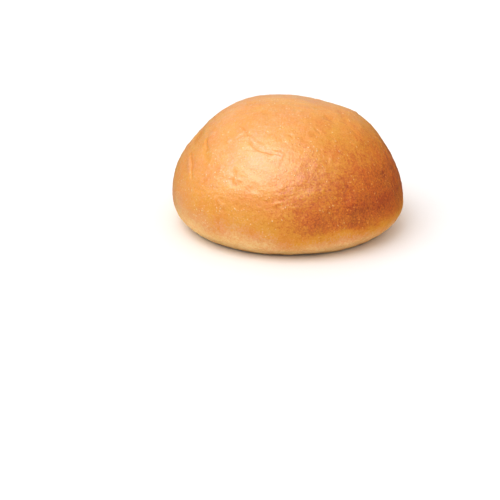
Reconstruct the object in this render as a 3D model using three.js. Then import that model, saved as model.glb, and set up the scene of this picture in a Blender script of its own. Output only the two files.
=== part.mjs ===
// A brioche bun: one round enriched-dough roll, baked in one piece.
// Millimetres, +Z up. The origin is the middle of the flat base, and the bun faces -Y.
import * as THREE from "three";
import { mergeVertices } from "three/addons/utils/BufferGeometryUtils.js";

// Driving dimensions.
const WIDTH = 100; // left to right, at the widest level
const DEPTH = 98; // front to back, at the widest level
const HEIGHT = 53; // base to crown
const WIDEST_LEVEL = 12; // height of the widest level above the base
const BASE_SHARE = 0.84; // the flat base's width over the bun's width
const DOME_FULLNESS = 2.08; // superellipse exponent: 2 is an ellipse, more is squarer
const SKIRT_TURN = 65; // degrees of arc from the widest level down to the rim of the base
const CROWN_LEAN = new THREE.Vector2(-1.2, 1); // how far the crown stands off centre

// The mesh starts as a cube's grid of squares. Rows are counted down the bun's side: the cube's
// top makes the cap, its sides make the rest of the dome and the skirt, and its bottom makes the
// flat base, so one row's edge runs exactly along the rim.
const GRID = 16; // squares along each edge of the cube
const CAP_ROWS = GRID / 2; // crown to the cap's edge, and also rim to the base's middle
const RIM_ROW = CAP_ROWS + GRID;
const WIDEST_ROW = RIM_ROW - 4;

// Proving leaves the outline a little out of round: each wave is a number of lobes, the
// direction of the first lobe in degrees from +X, and its height as a share of the radius.
const OUTLINE_WAVES = [
  { lobes: 2, towards: 20, share: 0.004 },
  { lobes: 3, towards: -40, share: 0.006 },
  { lobes: 5, towards: 15, share: 0.003 },
];

// Swells and hollows where the dough rose unevenly. In degrees: azimuth from +X, angle above the
// widest level, and spread around the bun and up it. In millimetres: rise.
const SWELLS = [
  { azimuth: 190, above: 31, around: 48, up: 14, rise: -1.7 },
  { azimuth: 0, above: 20, around: 26, up: 14, rise: -1 },
  { azimuth: 40, above: 68, around: 22, up: 12, rise: -0.8 },
  { azimuth: 262, above: 40, around: 20, up: 20, rise: 0.7 },
  { azimuth: 120, above: 45, around: 26, up: 16, rise: 0.8 },
  { azimuth: 70, above: 25, around: 20, up: 14, rise: -0.8 },
];
const SWELLS_START = HEIGHT / 3; // the height above which swells have their full rise

const { degToRad, euclideanModulo, radToDeg } = THREE.MathUtils;

// The azimuth, in radians, and the row that a point of the cube's surface goes to.
function cubeToBun({ x, y, z }) {
  const ring = Math.max(Math.abs(x), Math.abs(y));
  const quarter = Math.PI / 4;
  let azimuth = 0;
  if (ring > 0 && Math.abs(x) === ring) azimuth = (y / x) * quarter + (x < 0 ? Math.PI : 0);
  else if (ring > 0) azimuth = 2 * quarter - (x / y) * quarter + (y < 0 ? Math.PI : 0);
  if (z === 1) return { azimuth, row: ring * CAP_ROWS };
  if (z === -1) return { azimuth, row: RIM_ROW + (1 - ring) * CAP_ROWS };
  return { azimuth, row: CAP_ROWS + ((1 - z) / 2) * GRID };
}

// The plain round bun's side: its height in millimetres, and its radius as a share of the
// radius at the widest level.
function profile(row) {
  if (row <= WIDEST_ROW) {
    const turn = ((row / WIDEST_ROW) * Math.PI) / 2;
    const rise = Math.max(0, Math.cos(turn)) ** (2 / DOME_FULLNESS);
    return {
      radius: Math.sin(turn) ** (2 / DOME_FULLNESS),
      height: WIDEST_LEVEL + (HEIGHT - WIDEST_LEVEL) * rise,
    };
  }
  if (row < RIM_ROW) {
    const end = degToRad(SKIRT_TURN);
    const turn = ((row - WIDEST_ROW) / (RIM_ROW - WIDEST_ROW)) * end;
    return {
      radius: 1 - ((1 - BASE_SHARE) * (1 - Math.cos(turn))) / (1 - Math.cos(end)),
      height: WIDEST_LEVEL * (1 - Math.sin(turn) / Math.sin(end)),
    };
  }
  return { radius: BASE_SHARE * (1 - (row - RIM_ROW) / CAP_ROWS), height: 0 };
}

// How far out of round the bun is at an azimuth: 1 is the plain radius.
function outline(azimuth) {
  const wave = ({ lobes, towards, share }) => share * Math.cos(lobes * (azimuth - degToRad(towards)));
  return 1 + OUTLINE_WAVES.reduce((sum, each) => sum + wave(each), 0);
}

// The summed rise of the swells towards an azimuth and an angle above the widest level, both in
// degrees. Each swell falls off smoothly around the bun and up it.
function swellRise(azimuth, above) {
  return SWELLS.reduce((sum, swell) => {
    const turn = euclideanModulo(azimuth - swell.azimuth + 180, 360) - 180;
    const sideways = (turn * Math.cos(degToRad(above))) / swell.around;
    const upwards = (above - swell.above) / swell.up;
    return sum + swell.rise * Math.exp(-(sideways ** 2) - upwards ** 2);
  }, 0);
}

// Moves a point of the cube's surface to its place on the bun.
function place(point) {
  const { azimuth, row } = cubeToBun(point);
  const { radius, height } = profile(row);
  const reach = radius * outline(azimuth);
  point.set((WIDTH / 2) * Math.cos(azimuth), (DEPTH / 2) * Math.sin(azimuth), 0);
  point.multiplyScalar(reach).setZ(height);

  const direction = point.clone().sub(new THREE.Vector3(0, 0, WIDEST_LEVEL)).normalize();
  const rise = swellRise(radToDeg(azimuth), radToDeg(Math.asin(direction.z)));
  point.addScaledVector(direction, rise * Math.min(1, height / SWELLS_START));

  const lean = (height / HEIGHT) ** 2;
  point.x += CROWN_LEAN.x * lean;
  point.y += CROWN_LEAN.y * lean;
}

function bunGeometry() {
  const cube = new THREE.BoxGeometry(2, 2, 2, GRID, GRID, GRID);
  cube.deleteAttribute("normal");
  cube.deleteAttribute("uv");
  const geometry = mergeVertices(cube, 1e-4);
  const position = geometry.getAttribute("position");
  const point = new THREE.Vector3();
  for (let i = 0; i < position.count; i++) {
    place(point.fromBufferAttribute(position, i));
    position.setXYZ(i, point.x, point.y, point.z);
  }
  geometry.computeBoundingBox();
  const { min, max } = geometry.boundingBox;
  geometry.translate(-(min.x + max.x) / 2, -(min.y + max.y) / 2, 0);
  geometry.computeVertexNormals();
  return geometry;
}

// Egg-washed crust: golden brown with a soft shine.
function crustMaterial() {
  return new THREE.MeshStandardMaterial({ color: "#d98a3a", roughness: 0.45, metalness: 0 });
}

const bun = new THREE.Mesh(bunGeometry(), crustMaterial());
bun.name = "bun";

const part = new THREE.Group();
part.add(bun);

export default part;
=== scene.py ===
"""A brioche bun: a round roll of enriched dough, egg-washed and baked golden brown.

The bun is one piece. Its form comes from the frame; this script gives it its crust: the folds,
dimples and blisters of the skin, the pale skirt that rose last, the toasted rim and the matt
underside that lay on the tray.
"""
import math
import random

import bpy
import numpy as np
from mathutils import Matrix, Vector


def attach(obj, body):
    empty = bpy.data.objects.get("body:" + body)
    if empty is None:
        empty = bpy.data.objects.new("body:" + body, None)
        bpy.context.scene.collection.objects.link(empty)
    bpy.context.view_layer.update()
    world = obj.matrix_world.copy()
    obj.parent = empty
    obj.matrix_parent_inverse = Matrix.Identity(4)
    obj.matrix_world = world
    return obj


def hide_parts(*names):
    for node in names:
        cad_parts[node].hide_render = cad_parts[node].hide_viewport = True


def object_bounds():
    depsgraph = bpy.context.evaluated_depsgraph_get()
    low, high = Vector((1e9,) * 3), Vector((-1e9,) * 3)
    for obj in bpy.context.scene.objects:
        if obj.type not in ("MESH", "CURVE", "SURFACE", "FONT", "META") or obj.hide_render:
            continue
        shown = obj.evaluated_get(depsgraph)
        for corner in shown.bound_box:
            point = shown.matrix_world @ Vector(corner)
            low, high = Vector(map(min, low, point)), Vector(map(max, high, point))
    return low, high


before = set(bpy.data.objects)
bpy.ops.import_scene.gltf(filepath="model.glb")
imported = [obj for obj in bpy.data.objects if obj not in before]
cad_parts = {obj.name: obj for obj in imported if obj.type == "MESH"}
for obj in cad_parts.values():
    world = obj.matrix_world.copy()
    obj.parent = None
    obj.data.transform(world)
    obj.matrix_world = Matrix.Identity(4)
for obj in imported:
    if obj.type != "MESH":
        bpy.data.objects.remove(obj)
cad_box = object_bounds()

MM = 0.001  # Blender's unit is the metre


# ---------------------------------------------------------------- camera, light and floor

# The camera looks along +Y and down at the bun, which stands up and to the right in the frame.
VIEW_DOWN = math.radians(20)
LENS_MM = 85
CAMERA_AWAY = 511 * MM
BUN_RIGHT_OF_MIDDLE = 15.8 * MM
BUN_ABOVE_MIDDLE = 39 * MM

# Softboxes: the direction each shines from, how wide it looks in degrees, its strength, its
# colour, and whether it lights the crust or only shines in its glaze.
SOFTBOXES = {
    "key over the left shoulder": (Vector((-0.5, -0.3, 0.8)), 60, 1.42, "#ffffff", "light"),
    "shine over the camera": (Vector((-0.35, -0.37, 0.86)), 55, 5.5, "#e4edff", "shine"),
    "shine from behind": (Vector((0, 0.75, 0.5)), 70, 0.6, "#ffffff", "shine"),
    "top light": (Vector((0.45, 0.3, 0.85)), 130, 1.24, "#ffffff", "light"),
    "fill from the right": (Vector((0.85, -0.45, 0.3)), 110, 0.9, "#fff4ea", "light"),
}
BRIGHT_WALL = Vector((-0.95, 0.15, 0.3)).normalized()
WALL_STRENGTH = (0, 0.78)  # facing away from the bright wall, and facing it
BLACK_FLAGS = 0.75  # the share of the walls' glare that black cloths keep off the glaze
FLOOR_RADIUS = 6  # metres
FLOOR_SIDES = 96
CONTRAST_GAMMA = 0.85  # under 1 deepens the colours and leaves white white


def linear(colour):
    """An sRGB hex colour, such as "#c08040", as the linear RGBA that a node takes."""
    parts = [int(colour[i:i + 2], 16) / 255 for i in (1, 3, 5)]
    bright = [p / 12.92 if p <= 0.04045 else ((p + 0.055) / 1.055) ** 2.4 for p in parts]
    return (*bright, 1)


def node(tree, kind, inputs=None, stops=None, **settings):
    """Adds a node. Settings are its own properties; inputs are values, or sockets to link."""
    made = tree.nodes.new(kind)
    for name, value in settings.items():
        setattr(made, name, value)
    for name, value in (inputs or {}).items():
        if isinstance(value, bpy.types.NodeSocket):
            tree.links.new(value, made.inputs[name])
        else:
            made.inputs[name].default_value = value
    if stops:
        ramp = made.color_ramp.elements
        ramp.remove(ramp[-1])
        ramp[0].position, ramp[0].color = stops[0][0], linear(stops[0][1])
        for place, colour in stops[1:]:
            ramp.new(place).color = linear(colour)
    return made


def set_camera():
    low, high = cad_box
    middle = (Vector(low) + Vector(high)) / 2
    back = Vector((0, -math.cos(VIEW_DOWN), math.sin(VIEW_DOWN)))
    up = Vector((0, math.sin(VIEW_DOWN), math.cos(VIEW_DOWN)))
    place = middle + CAMERA_AWAY * back
    aim = middle - Vector((BUN_RIGHT_OF_MIDDLE, 0, 0)) - BUN_ABOVE_MIDDLE * up
    turn = (aim - place).to_track_quat("-Z", "Y").to_euler()
    bpy.ops.object.camera_add(location=place, rotation=turn)
    camera = bpy.context.object
    camera.data.lens = LENS_MM
    camera.data.clip_start = 10 * MM
    bpy.context.scene.camera = camera


def set_softboxes():
    for name, (source, width, strength, colour, use) in SOFTBOXES.items():
        bpy.ops.object.light_add(type="SUN", rotation=source.to_track_quat("Z", "Y").to_euler())
        softbox = bpy.context.object
        softbox.name = name
        softbox.data.energy = strength
        softbox.data.color = linear(colour)[:3]
        softbox.data.angle = math.radians(width)
        softbox.visible_diffuse = use == "light"
        softbox.visible_glossy = use == "shine"


def set_walls():
    """White walls, brighter on one side, which the camera sees as plain white."""
    world = bpy.data.worlds.new("white studio")
    world.use_nodes = True
    tree = world.node_tree
    tree.nodes.clear()
    outwards = node(tree, "ShaderNodeTexCoord").outputs["Generated"]
    side = node(
        tree, "ShaderNodeVectorMath", {0: outwards, 1: BRIGHT_WALL}, operation="DOT_PRODUCT"
    ).outputs["Value"]
    dim, bright = WALL_STRENGTH
    strength = node(
        tree,
        "ShaderNodeMapRange",
        {"Value": side, "From Min": -1, "From Max": 1, "To Min": dim, "To Max": bright},
    ).outputs[0]
    ray = node(tree, "ShaderNodeLightPath").outputs
    let_through = node(
        tree,
        "ShaderNodeMath",
        {0: ray["Is Glossy Ray"], 1: -BLACK_FLAGS, 2: 1},
        operation="MULTIPLY_ADD",
    ).outputs[0]
    strength = node(
        tree, "ShaderNodeMath", {0: strength, 1: let_through}, operation="MULTIPLY"
    ).outputs[0]
    white = linear("#ffffff")
    lighting = node(tree, "ShaderNodeBackground", {"Color": white, "Strength": strength})
    backdrop = node(tree, "ShaderNodeBackground", {"Color": white, "Strength": 1})
    both = node(
        tree,
        "ShaderNodeMixShader",
        {0: ray["Is Camera Ray"], 1: lighting.outputs[0], 2: backdrop.outputs[0]},
    )
    node(tree, "ShaderNodeOutputWorld", {"Surface": both.outputs[0]})
    bpy.context.scene.world = world


def set_colours():
    """Plain colours, with a little more contrast."""
    bpy.context.scene.view_settings.view_transform = "Standard"
    bpy.context.scene.view_settings.gamma = CONTRAST_GAMMA


def set_floor():
    bpy.ops.mesh.primitive_circle_add(vertices=FLOOR_SIDES, radius=FLOOR_RADIUS, fill_type="NGON")
    floor = bpy.context.object
    floor.name = "floor"
    material = bpy.data.materials.new("matt white board")
    material.use_nodes = True
    board = material.node_tree.nodes["Principled BSDF"]
    board.inputs["Base Color"].default_value = linear("#f3f2f2")
    board.inputs["Roughness"].default_value = 0.7
    floor.data.materials.append(material)
    floor.visible_glossy = False  # keeps its white glare off the crust


# ---------------------------------------------------------------- the bun's form

MERGE_WITHIN = 0.01 * MM
RIM_ANGLE = math.radians(30)  # the rim of the base is the only edge as sharp as this
RIM_CREASE = 0.75
SUBDIVISIONS = 3  # gives squares about 0.6 mm wide


def only(piece):
    """Makes one object the whole selection and the active one."""
    bpy.ops.object.select_all(action="DESELECT")
    piece.select_set(True)
    bpy.context.view_layer.objects.active = piece


def modify(piece, kind, **settings):
    """Adds a modifier to a piece and applies it."""
    only(piece)
    bpy.ops.object.modifier_add(type=kind)
    modifier = piece.modifiers[-1]
    for name, value in settings.items():
        setattr(modifier, name, value)
    bpy.ops.object.modifier_apply(modifier=modifier.name)


def blank_bun():
    """The smooth bun: a copy of the frame's bun as a cage of squares, subdivided."""
    only(bpy.data.objects["bun"])
    bpy.ops.object.duplicate()
    bun = bpy.context.object
    bun.name = bun.data.name = "bun_crust"
    bun.data.materials.clear()
    bpy.ops.object.mode_set(mode="EDIT")
    bpy.ops.mesh.select_all(action="SELECT")
    bpy.ops.mesh.remove_doubles(threshold=MERGE_WITHIN)
    bpy.ops.mesh.tris_convert_to_quads(face_threshold=math.pi, shape_threshold=math.pi)
    bpy.ops.mesh.select_all(action="DESELECT")
    bpy.ops.mesh.select_mode(type="EDGE")
    bpy.ops.mesh.edges_select_sharp(sharpness=RIM_ANGLE)
    bpy.ops.transform.edge_crease(value=RIM_CREASE)
    bpy.ops.object.mode_set(mode="OBJECT")
    modify(bun, "SUBSURF", levels=SUBDIVISIONS, render_levels=SUBDIVISIONS)
    bpy.ops.object.shade_smooth()
    return bun


# ---------------------------------------------------------------- the crust's relief

CORE = Vector((0, 0, 12))  # mm; directions on the crust are measured from here
CORE_TO_CRUST = 46  # mm, on average
LEAST_CIRCLE = 0.09  # keeps a stroke's steps near the crown from spinning around it
STEPS_A_LEG = 6  # straight pieces that a stroke's curve has from stop to stop

# Where each region starts and where it is full: mm above the tray, and for the base how
# squarely it faces down.
DOME_LEVELS = (8, 22)
SIDE_LEVELS = (0, 3)
FOOT_LEVELS = (2, 7)
BASE_FACING = (0.9, 0.99)

# Unevenness of the dough: the region, the size of its clouds and their height in mm, their
# detail, the level of a cloud that leaves the crust where it is, and how flat they are squashed.
UNEVENNESS = [
    ("dome", 24, 0.7, 0, 0.5, 1),
    ("dome", 8, 0.4, 1, 0.5, 1),
    ("dome", 2.6, 0.16, 1, 0.5, 1),
    ("side", 5, 0.25, 2, 0.5, 1),
    ("side", 3, 0.16, 1, 0.5, 0.35),
    ("foot", 11, 0.9, 1, 0.83, 1),
    ("base", 5, 0.7, 3, 0.83, 1),
]


def smooth_step(low, high, value):
    share = min(1, max(0, (value - low) / (high - low)))
    return share * share * (3 - 2 * share)


def numbers(piece, name):
    """A vector property of a piece's vertices, one row each."""
    rows = np.empty(len(piece.data.vertices) * 3)
    piece.data.vertices.foreach_get(name, rows)
    return rows.reshape(-1, 3)


def paint(piece, name, amount):
    """Paints a vertex group by place: amount takes a vertex and gives 0 to 1."""
    group = piece.vertex_groups.new(name=name)
    for vertex in piece.data.vertices:
        group.add([vertex.index], amount(vertex), "REPLACE")


def raise_clouds(piece, region, size, height, detail, middle, flat):
    """Raises and sinks a region of the crust by clouds of a given size and height, both in mm.

    Clouds with flat under 1 are squashed to that share of their height, for level wrinkles.
    """
    texture = bpy.data.textures.new(f"{region} clouds {size}", "CLOUDS")
    texture.noise_scale = size
    texture.noise_depth = detail
    bpy.ops.object.empty_add(location=(0, 0, 0))
    ruler = bpy.context.object
    ruler.scale = (MM, MM, MM * flat)
    bpy.context.view_layer.update()
    modify(
        piece,
        "DISPLACE",
        texture=texture,
        texture_coords="OBJECT",
        texture_coords_object=ruler,
        vertex_group=region,
        strength=height * MM,
        mid_level=middle,
    )
    bpy.data.objects.remove(ruler)


def on_crust(piece, azimuth, above):
    """The point of the crust towards an azimuth from +X and an angle above the core's level."""
    a, b = math.radians(azimuth), math.radians(above)
    direction = Vector((math.cos(a) * math.cos(b), math.sin(a) * math.cos(b), math.sin(b)))
    return piece.ray_cast(CORE * MM, direction)[1]


def stroke_stops(azimuth, above, legs):
    """The stops of a stroke on the crust, as azimuths and angles above the core in degrees.

    A leg is a length in mm and a heading in degrees: 0 runs level to the right, 90 straight up.
    """
    found = [(azimuth, above)]
    for length, heading in legs:
        step = math.degrees(length / CORE_TO_CRUST)
        above += step * math.sin(math.radians(heading))
        level = max(LEAST_CIRCLE, math.cos(math.radians(above)))
        azimuth += step * math.cos(math.radians(heading)) / level
        found.append((azimuth, above))
    return found


def press(piece, name, reach, height, strokes):
    """Draws strokes on the crust and raises it along them, or sinks it where height is negative.

    Reach and height are in mm.
    """
    drawing = bpy.data.curves.new(name, "CURVE")
    drawing.dimensions = "3D"
    for stroke in strokes:
        places = stroke_stops(*stroke)
        line = drawing.splines.new("BEZIER")
        line.resolution_u = STEPS_A_LEG
        line.bezier_points.add(len(places) - 1)
        for knot, (azimuth, above) in zip(line.bezier_points, places):
            knot.co = on_crust(piece, azimuth, above)
            knot.handle_left_type = knot.handle_right_type = "AUTO"
    tool = bpy.data.objects.new(name, drawing)
    bpy.context.collection.objects.link(tool)
    only(tool)
    bpy.ops.object.convert(target="MESH")
    group = piece.vertex_groups.new(name=name)
    group.add(range(len(piece.data.vertices)), 1, "REPLACE")
    modify(
        piece,
        "VERTEX_WEIGHT_PROXIMITY",
        vertex_group=name,
        target=tool,
        proximity_mode="GEOMETRY",
        proximity_geometry={"EDGE"},
        min_dist=reach * MM,
        max_dist=0,
        falloff_type="SMOOTH",
    )
    modify(piece, "DISPLACE", vertex_group=name, strength=height * MM, mid_level=0)
    bpy.data.objects.remove(tool)
    piece.vertex_groups.remove(piece.vertex_groups[name])


# Shapes given one by one: reach and height in mm, then the strokes. A stroke is where it starts,
# in degrees of azimuth and above the core, then its legs: millimetres long, and degrees of
# heading.
# Swells shape the bun and leave its colour alone; marks change both.
SWELLS = {
    "right shoulder": (20, 1.3, [(350, 48, [(8, 10)])]),
    "right foot": (9, 0.8, [(325, -4, [(20, 0)])]),
}
MARKS = {
    "long fold": (0.7, -0.3, [(220, 54, [(8, -20), (5, -50), (6, -30), (10, -10)])]),
    "fold lip": (1.6, 0.16, [(238, 48, [(9, -25)]), (262, 41, [(3, -10)])]),
    "shallow folds": (
        2.6,
        -0.22,
        [(200, 37, [(13, -30)]), (335, 54, [(5, 40), (6, 20)]), (347, 25, [(5, 55)])],
    ),
    "creases": (
        1,
        -0.28,
        [
            (200, 37, [(5, -25)]),
            (195, 26, [(7, -20), (7, -35)]),
            (297, 57, [(3, -70)]),
            (10, 47, [(5, -20), (3, 10), (7, -40)]),
            (57, 58, [(6, -50), (6, -75)]),
            (108, 62, [(6, -50), (5, 0), (5, -40)]),
            (140, 33, [(6, -25), (4, -65)]),
        ],
    ),
    "crease lips": (
        2.2,
        0.2,
        [(12, 50, [(6, -30)]), (112, 58, [(8, -35)]), (197, 24, [(8, -25)]), (60, 53, [(5, -60)])],
    ),
    "hairlines": (0.6, -0.12, [(242, 26, [(4, 10)]), (262, 27, [(3, 0)]), (242, 32, [(2, -20)])]),
    "dimples": (
        1.8,
        -0.3,
        [
            (239, 24, [(2, -50), (2, 20)]),
            (28, 24, [(4, -25)]),
            (92, 30, [(2, -20)]),
            (163, 52, [(2, -45)]),
        ],
    ),
    "pits": (1.1, -0.2, [(272, 53, [(1, -60)]), (348, 34, [(1, -45)]), (207, 35, [(1, -45)])]),
    "broad hollow": (5, -0.45, [(180, 33, [(3, 0)])]),
    "swellings": (
        2.5,
        0.28,
        [(350, 34, [(5, -75)]), (74, 47, [(3, -65)]), (262, 40, [(2, -25)])],
    ),
    "blisters": (
        1,
        0.2,
        [
            (268, 13, [(3, -60)]),
            (264, 15, [(2.5, 20)]),
            (305, 23, [(2, -65)]),
            (287, 12, [(1.5, 0)]),
            (306, 5, [(1.5, -90)]),
            (288, 21, [(0.5, 0)]),
            (219, 55, [(0.5, -50)]),
            (321, 40, [(0.5, 0)]),
            (297, 36, [(0.5, 0)]),
        ],
    ),
    # Under the bun, where the dough was gathered and pinched together.
    "pinch": (
        1.6,
        -0.8,
        [
            (30, -86, [(12, 80), (10, 110), (11, 60)]),
            (150, -86, [(13, 60), (11, 115)]),
            (262, -86, [(15, 100), (13, 60), (8, 110)]),
        ],
    ),
}
# Small marks all over the dome: how many, the least and most length of one, reach and height.
SCATTER = {
    "fine blisters": (90, 0.1, 0.8, 0.9, 0.11),
    "blisters": (22, 0.3, 2.2, 1.7, 0.17),
    "wrinkles": (34, 2.5, 8, 0.8, -0.07),
    "dimples": (14, 0.3, 2.5, 2.6, -0.24),
}
SCATTER_SEED = 7
SCATTER_FROM = math.sin(math.radians(8))  # the sine of the angle above; lower is the pale skirt
SCATTER_TO = 0.985  # just short of the crown
MOST_BEND = 30  # degrees


def scattered(chance, count, shortest, longest):
    """Short bent strokes in every direction, evenly spread over the dome."""
    strokes = []
    for _ in range(count):
        azimuth = chance.uniform(0, 360)
        above = math.degrees(math.asin(chance.uniform(SCATTER_FROM, SCATTER_TO)))
        heading = chance.uniform(0, 360)
        bend = chance.uniform(-MOST_BEND, MOST_BEND)
        half = chance.uniform(shortest, longest) / 2
        strokes.append((azimuth, above, [(half, heading), (half, heading + bend)]))
    return strokes


def crust_relief(bun):
    paint(bun, "dome", lambda vertex: smooth_step(*DOME_LEVELS, vertex.co.z / MM))
    paint(bun, "side", lambda vertex: smooth_step(*SIDE_LEVELS, vertex.co.z / MM))
    paint(bun, "foot", lambda vertex: 1 - smooth_step(*FOOT_LEVELS, vertex.co.z / MM))
    paint(bun, "base", lambda vertex: smooth_step(*BASE_FACING, -vertex.normal.z))
    for clouds in UNEVENNESS:
        raise_clouds(bun, *clouds)

    for name, (reach, height, strokes) in SWELLS.items():
        press(bun, name, reach, height, strokes)
    lie, normals = numbers(bun, "co"), numbers(bun, "normal")
    for name, (reach, height, strokes) in MARKS.items():
        press(bun, name, reach, height, strokes)
    chance = random.Random(SCATTER_SEED)
    for name, (count, shortest, longest, reach, height) in SCATTER.items():
        press(bun, name, reach, height, scattered(chance, count, shortest, longest))

    rise = ((numbers(bun, "co") - lie) * normals).sum(axis=1) / MM
    attribute = bun.data.attributes.new("rise", "FLOAT", "POINT")
    attribute.data.foreach_set("value", rise)


# ---------------------------------------------------------------- the crust's material

# From pale dough to dark crust.
BROWNING = [
    (0.0, "#f2cd92"),
    (0.15, "#efbd7e"),
    (0.3, "#eaa866"),
    (0.45, "#eaa038"),
    (0.6, "#e6961c"),
    (0.75, "#da770c"),
    (1.0, "#b04a06"),
]
# From untouched dough to the brown of the tray.
TOASTING = [(0.0, "#edc88d"), (0.35, "#d9a562"), (0.7, "#bd8044"), (1.0, "#8f5a2c")]

# Sizes and heights of the crust's patterns are in mm. Browning is a share of its whole scale.
WAVES = 14
GLAZE_EDGE_WAVER = 9
BROWNED_AND_SHADED_SIDE = (0.7, -0.35, -0.6)  # the side nearer the oven's wall, painted darker with painted shade too; the crown paler, partly painted sheen
BROWNED_AND_SHADED_SIDE_WAVER = 24
BROWNING_CLOUDS = {24: (1, 0.2), 9: (2, 0.14), 3: (3, 0.16), 1.3: (3, 0.2)}  # detail, browning
GRAIN = {0.9: 0.3, 0.5: 0.4}  # browning
HUE_CLOUDS = 6

PULL_CLOUDS = 1.6
PULL = (1.2, 1.2, 1.2)
PEBBLES = 0.9
# The pebbles' dips are painted darker by this share, a painted shade.
PEBBLE_PAINTED_SHADE = 0.16
PEBBLE_DEPTH = 0.06
FINEST_GRAIN = 0.7
FINEST_GRAIN_HEIGHT = 0.11

SPECK_SPACING = 1.25
SPECK_GROWTH = 0.16  # how much further the largest speck reaches, as a share of the spacing
# The blisters are painted paler by this share, a painted glint on their real relief.
SPECK_PAINTED_GLINT = -0.65
SPECK_HEIGHT = 0.12
SPECK_CROWDS = 11

TOAST_CLOUDS = 5
RIM_WAVER = 5
PORE_SPACING = 2.4

EGG_GLAZE = 0.9  # the coat's weight where the glaze is whole


def browning(tree, mm, waver, level, glazed):
    """How brown the crust baked, with painted shade away from the key light and painted sheen on
    the crown, before its pebbles, hollows and specks.
    """
    baked = node(
        tree,
        "ShaderNodeMapRange",
        {"Value": level, "From Min": 8.5, "From Max": 25, "To Min": -0.34, "To Max": -0.05},
        interpolation_type="SMOOTHSTEP",
    ).outputs[0]

    # One side of the bun stood nearer the oven's wall, and it faces away from the key light: it is
    # painted darker and redder, partly browning and partly painted shade. The crown is left paler,
    # partly painted sheen.
    towards_browned_and_shaded_side = node(
        tree, "ShaderNodeVectorMath", {0: mm, 1: BROWNED_AND_SHADED_SIDE}, operation="DOT_PRODUCT"
    ).outputs["Value"]
    towards_browned_and_shaded_side = node(
        tree,
        "ShaderNodeMath",
        {0: waver, 1: BROWNED_AND_SHADED_SIDE_WAVER, 2: towards_browned_and_shaded_side},
        operation="MULTIPLY_ADD",
    ).outputs[0]
    browned_and_shaded_side = node(
        tree,
        "ShaderNodeMapRange",
        {"Value": towards_browned_and_shaded_side, "From Min": -14, "From Max": 36, "To Min": 0, "To Max": 0.48},
    ).outputs[0]
    baked = node(
        tree, "ShaderNodeMath", {0: browned_and_shaded_side, 1: glazed, 2: baked}, operation="MULTIPLY_ADD"
    ).outputs[0]

    for size, (detail, share) in BROWNING_CLOUDS.items():
        cloud = node(
            tree, "ShaderNodeTexNoise", {"Vector": mm, "Scale": 1 / size, "Detail": detail}
        ).outputs[0]
        baked = node(
            tree, "ShaderNodeMath", {0: cloud, 1: share, 2: baked}, operation="MULTIPLY_ADD"
        ).outputs[0]

    # The fine grain shows most where the crust is brownest.
    graininess = node(
        tree,
        "ShaderNodeMapRange",
        {"Value": towards_browned_and_shaded_side, "From Min": -24, "From Max": 40, "To Min": 0.75, "To Max": 1.05},
    ).outputs[0]
    for size, share in GRAIN.items():
        grain = node(
            tree, "ShaderNodeTexNoise", {"Vector": mm, "Scale": 1 / size, "Detail": 1}
        ).outputs[0]
        grain = node(
            tree, "ShaderNodeMath", {0: grain, 1: share, 2: -share / 2}, operation="MULTIPLY_ADD"
        ).outputs[0]
        baked = node(
            tree, "ShaderNodeMath", {0: grain, 1: graininess, 2: baked}, operation="MULTIPLY_ADD"
        ).outputs[0]
    return baked


def pinpoint_blisters(tree, mm, pulled, glazed):
    """Specks about half a millimetre wide, in crowds, where the glazed skin blistered."""
    speck = node(
        tree, "ShaderNodeTexVoronoi", {"Vector": pulled, "Scale": 1 / SPECK_SPACING}
    ).outputs
    lot = node(tree, "ShaderNodeSeparateColor", {0: speck["Color"]}).outputs[0]
    from_middle = node(
        tree,
        "ShaderNodeMath",
        {0: lot, 1: -SPECK_GROWTH, 2: speck["Distance"]},
        operation="MULTIPLY_ADD",
    ).outputs[0]
    spot = node(
        tree,
        "ShaderNodeMapRange",
        {"Value": from_middle, "From Min": -0.04, "From Max": 0.2, "To Min": 1, "To Max": 0},
        interpolation_type="SMOOTHSTEP",
    ).outputs[0]
    drawn = node(
        tree,
        "ShaderNodeMapRange",
        {"Value": lot, "From Min": 0.35, "From Max": 0.9, "To Min": 0, "To Max": 1},
    ).outputs[0]
    crowd = node(
        tree, "ShaderNodeTexNoise", {"Vector": mm, "Scale": 1 / SPECK_CROWDS, "Detail": 2}
    ).outputs[0]
    crowd = node(
        tree,
        "ShaderNodeMapRange",
        {"Value": crowd, "From Min": 0.35, "From Max": 0.6, "To Min": 0.2, "To Max": 1},
    ).outputs[0]
    specks = spot
    for share in (drawn, crowd, glazed):
        specks = node(
            tree, "ShaderNodeMath", {0: specks, 1: share}, operation="MULTIPLY"
        ).outputs[0]
    return specks


def golden_crust(tree, mm, baked):
    """The colour of the glazed crust, a little redder or yellower from place to place."""
    golden = node(tree, "ShaderNodeValToRGB", {"Fac": baked}, BROWNING).outputs["Color"]
    cloud = node(
        tree,
        "ShaderNodeTexNoise",
        {"Vector": mm, "Scale": 1 / HUE_CLOUDS, "Detail": 3, "W": 3},
        noise_dimensions="4D",
    ).outputs[0]
    hue = node(
        tree,
        "ShaderNodeMapRange",
        {"Value": cloud, "From Min": 0.3, "From Max": 0.7, "To Min": 0.493, "To Max": 0.507},
    ).outputs[0]
    return node(tree, "ShaderNodeHueSaturation", {"Hue": hue, "Color": golden}).outputs[0]


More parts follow.
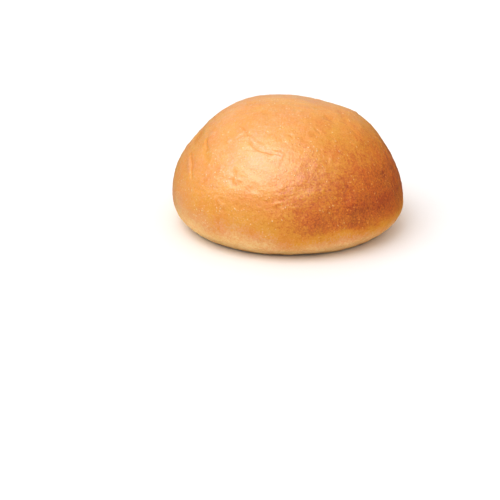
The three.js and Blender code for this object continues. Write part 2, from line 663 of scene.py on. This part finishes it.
def toasted_crust(tree, place, pulled, pooled_glaze_and_hollow_shade, cloud):
    """The colour of the rim and the underside, which toasted on the tray, with painted shade in
    its hollows and pinch and painted light on raised skin.
    """
    toasted = node(
        tree,
        "ShaderNodeMapRange",
        {"Value": cloud, "From Min": 0.3, "From Max": 0.7, "To Min": 0.25, "To Max": 0.85},
    ).outputs[0]
    across = node(tree, "ShaderNodeCombineXYZ", {"X": place["X"], "Y": place["Y"]}).outputs[0]
    from_middle = node(
        tree, "ShaderNodeVectorMath", {0: across}, operation="LENGTH"
    ).outputs["Value"]
    paler_edge = node(
        tree,
        "ShaderNodeMapRange",
        {"Value": from_middle, "From Min": 30, "From Max": 42, "To Min": 0, "To Max": -0.4},
        interpolation_type="SMOOTHSTEP",
    ).outputs[0]
    pore = node(
        tree, "ShaderNodeTexVoronoi", {"Vector": pulled, "Scale": 1 / PORE_SPACING}
    ).outputs["Distance"]
    pores = node(
        tree,
        "ShaderNodeMapRange",
        {"Value": pore, "From Min": 0.12, "From Max": 0.3, "To Min": 0.22, "To Max": 0},
    ).outputs[0]
    for change in (paler_edge, pores, pooled_glaze_and_hollow_shade):
        toasted = node(
            tree, "ShaderNodeMath", {0: toasted, 1: change}, operation="ADD"
        ).outputs[0]
    return node(tree, "ShaderNodeValToRGB", {"Fac": toasted}, TOASTING).outputs["Color"]


def tray_side(tree, place, facing, cloud):
    """Where the bun toasted: its flat base, and its rim up to a wavy edge."""
    rim_level = node(
        tree,
        "ShaderNodeMath",
        {0: cloud, 1: -RIM_WAVER, 2: place["Z"]},
        operation="MULTIPLY_ADD",
    ).outputs[0]
    rim = node(
        tree,
        "ShaderNodeMapRange",
        {"Value": rim_level, "From Min": -1.9, "From Max": -0.3, "To Min": 0.75, "To Max": 0},
        interpolation_type="SMOOTHSTEP",
    ).outputs[0]
    flat = node(
        tree,
        "ShaderNodeMapRange",
        {"Value": facing["Z"], "From Min": -0.9, "From Max": -0.6, "To Min": 1, "To Max": 0},
    ).outputs[0]
    return node(tree, "ShaderNodeMath", {0: rim, 1: flat}, operation="MAXIMUM").outputs[0]


def fine_relief(tree, mm, pebble, specks):
    """The finest relief, in mm of height: pebbles, specks, then the finest grain."""
    relief = node(
        tree, "ShaderNodeMath", {0: pebble, 1: -PEBBLE_DEPTH}, operation="MULTIPLY"
    ).outputs[0]
    relief = node(
        tree, "ShaderNodeMath", {0: specks, 1: SPECK_HEIGHT, 2: relief}, operation="MULTIPLY_ADD"
    ).outputs[0]
    grain = node(
        tree, "ShaderNodeTexNoise", {"Vector": mm, "Scale": 1 / FINEST_GRAIN, "Detail": 3}
    ).outputs[0]
    relief = node(
        tree,
        "ShaderNodeMath",
        {0: grain, 1: FINEST_GRAIN_HEIGHT, 2: relief},
        operation="MULTIPLY_ADD",
    ).outputs[0]
    return node(
        tree, "ShaderNodeBump", {"Height": relief, "Distance": MM, "Strength": 1}
    ).outputs[0]


def crust_material():
    """Egg-washed brioche crust: browned in patches, with painted shade, sheen and glints in its
    colour, and a soft shine where the egg glazed it.
    """
    material = bpy.data.materials.new("egg-washed brioche crust")
    material.use_nodes = True
    tree = material.node_tree
    tree.nodes.clear()

    coordinates = node(tree, "ShaderNodeTexCoord").outputs
    mm = node(
        tree,
        "ShaderNodeVectorMath",
        {0: coordinates["Object"], "Scale": 1 / MM},
        operation="SCALE",
    ).outputs[0]
    place = node(tree, "ShaderNodeSeparateXYZ", {0: mm}).outputs
    facing = node(tree, "ShaderNodeSeparateXYZ", {0: coordinates["Normal"]}).outputs
    rise = node(tree, "ShaderNodeAttribute", attribute_name="rise").outputs["Fac"]

    # How high the crust stands above the tray, with the wavy edge that the glaze has.
    waver = node(
        tree,
        "ShaderNodeTexNoise",
        {"Vector": mm, "Scale": 1 / WAVES, "Detail": 4, "Roughness": 0.6},
    ).outputs[0]
    level = node(
        tree,
        "ShaderNodeMath",
        {0: waver, 1: GLAZE_EDGE_WAVER, 2: place["Z"]},
        operation="MULTIPLY_ADD",
    ).outputs[0]
    glazed = node(
        tree,
        "ShaderNodeMapRange",
        {"Value": level, "From Min": 9, "From Max": 19, "To Min": 0.05, "To Max": 1},
        interpolation_type="SMOOTHSTEP",
    ).outputs[0]

    # Hollows are painted darker and raised skin lighter: partly glaze pooled in the hollows,
    # partly painted shade in them and painted light on the raised skin.
    pooled_glaze_and_hollow_shade = node(
        tree,
        "ShaderNodeMapRange",
        {"Value": rise, "From Min": -0.3, "From Max": 0.3, "To Min": 0.14, "To Max": -0.14},
    ).outputs[0]

    # The grain of the crust: pebbles under a millimetre, pulled out of shape.
    pull = node(
        tree, "ShaderNodeTexNoise", {"Vector": mm, "Scale": 1 / PULL_CLOUDS, "Detail": 2}
    ).outputs["Color"]
    pulled = node(
        tree, "ShaderNodeVectorMath", {0: pull, 1: PULL, 2: mm}, operation="MULTIPLY_ADD"
    ).outputs[0]
    pebble = node(
        tree, "ShaderNodeTexVoronoi", {"Vector": pulled, "Scale": 1 / PEBBLES}
    ).outputs["Distance"]
    specks = pinpoint_blisters(tree, mm, pulled, glazed)

    # From here on the browning also carries painted shade, painted sheen and painted glints.
    baked = browning(tree, mm, waver, level, glazed)
    baked = node(tree, "ShaderNodeMath", {0: pooled_glaze_and_hollow_shade, 1: baked}, operation="ADD").outputs[0]
    # The pebbles' dips are painted darker, a painted shade, and the blisters paler, a painted
    # glint.
    for pattern, share in ((pebble, PEBBLE_PAINTED_SHADE), (specks, SPECK_PAINTED_GLINT)):
        baked = node(
            tree, "ShaderNodeMath", {0: pattern, 1: share, 2: baked}, operation="MULTIPLY_ADD"
        ).outputs[0]

    toast_cloud = node(
        tree,
        "ShaderNodeTexNoise",
        {"Vector": mm, "Scale": 1 / TOAST_CLOUDS, "Detail": 5, "Roughness": 0.62},
    ).outputs[0]
    colour = node(
        tree,
        "ShaderNodeMixRGB",
        {
            "Fac": tray_side(tree, place, facing, toast_cloud),
            "Color1": golden_crust(tree, mm, baked),
            "Color2": toasted_crust(tree, place, pulled, pooled_glaze_and_hollow_shade, toast_cloud),
        },
    ).outputs[0]

    relief = fine_relief(tree, mm, pebble, specks)
    roughness = node(
        tree,
        "ShaderNodeMapRange",
        {"Value": glazed, "From Min": 0, "From Max": 1, "To Min": 0.75, "To Max": 0.5},
    ).outputs[0]
    glaze = node(
        tree, "ShaderNodeMath", {0: glazed, 1: EGG_GLAZE}, operation="MULTIPLY"
    ).outputs[0]
    shader = node(
        tree,
        "ShaderNodeBsdfPrincipled",
        {
            "Base Color": colour,
            "Roughness": roughness,
            "IOR": 1.5,
            "Coat Weight": glaze,
            "Coat Roughness": 0.5,
            "Coat IOR": 1.6,
            "Specular Tint": linear("#ffe2c6"),
            "Subsurface Weight": 0.12,
            "Subsurface Radius": (1.0, 0.4, 0.15),
            "Subsurface Scale": 1.5 * MM,
            "Normal": relief,
            "Coat Normal": relief,
        },
    )
    node(tree, "ShaderNodeOutputMaterial", {"Surface": shader.outputs[0]})
    return material


set_camera()
set_softboxes()
set_walls()
set_colours()
set_floor()

bun = blank_bun()
crust_relief(bun)
bun.data.materials.append(crust_material())
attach(bun, "root")
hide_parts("bun")
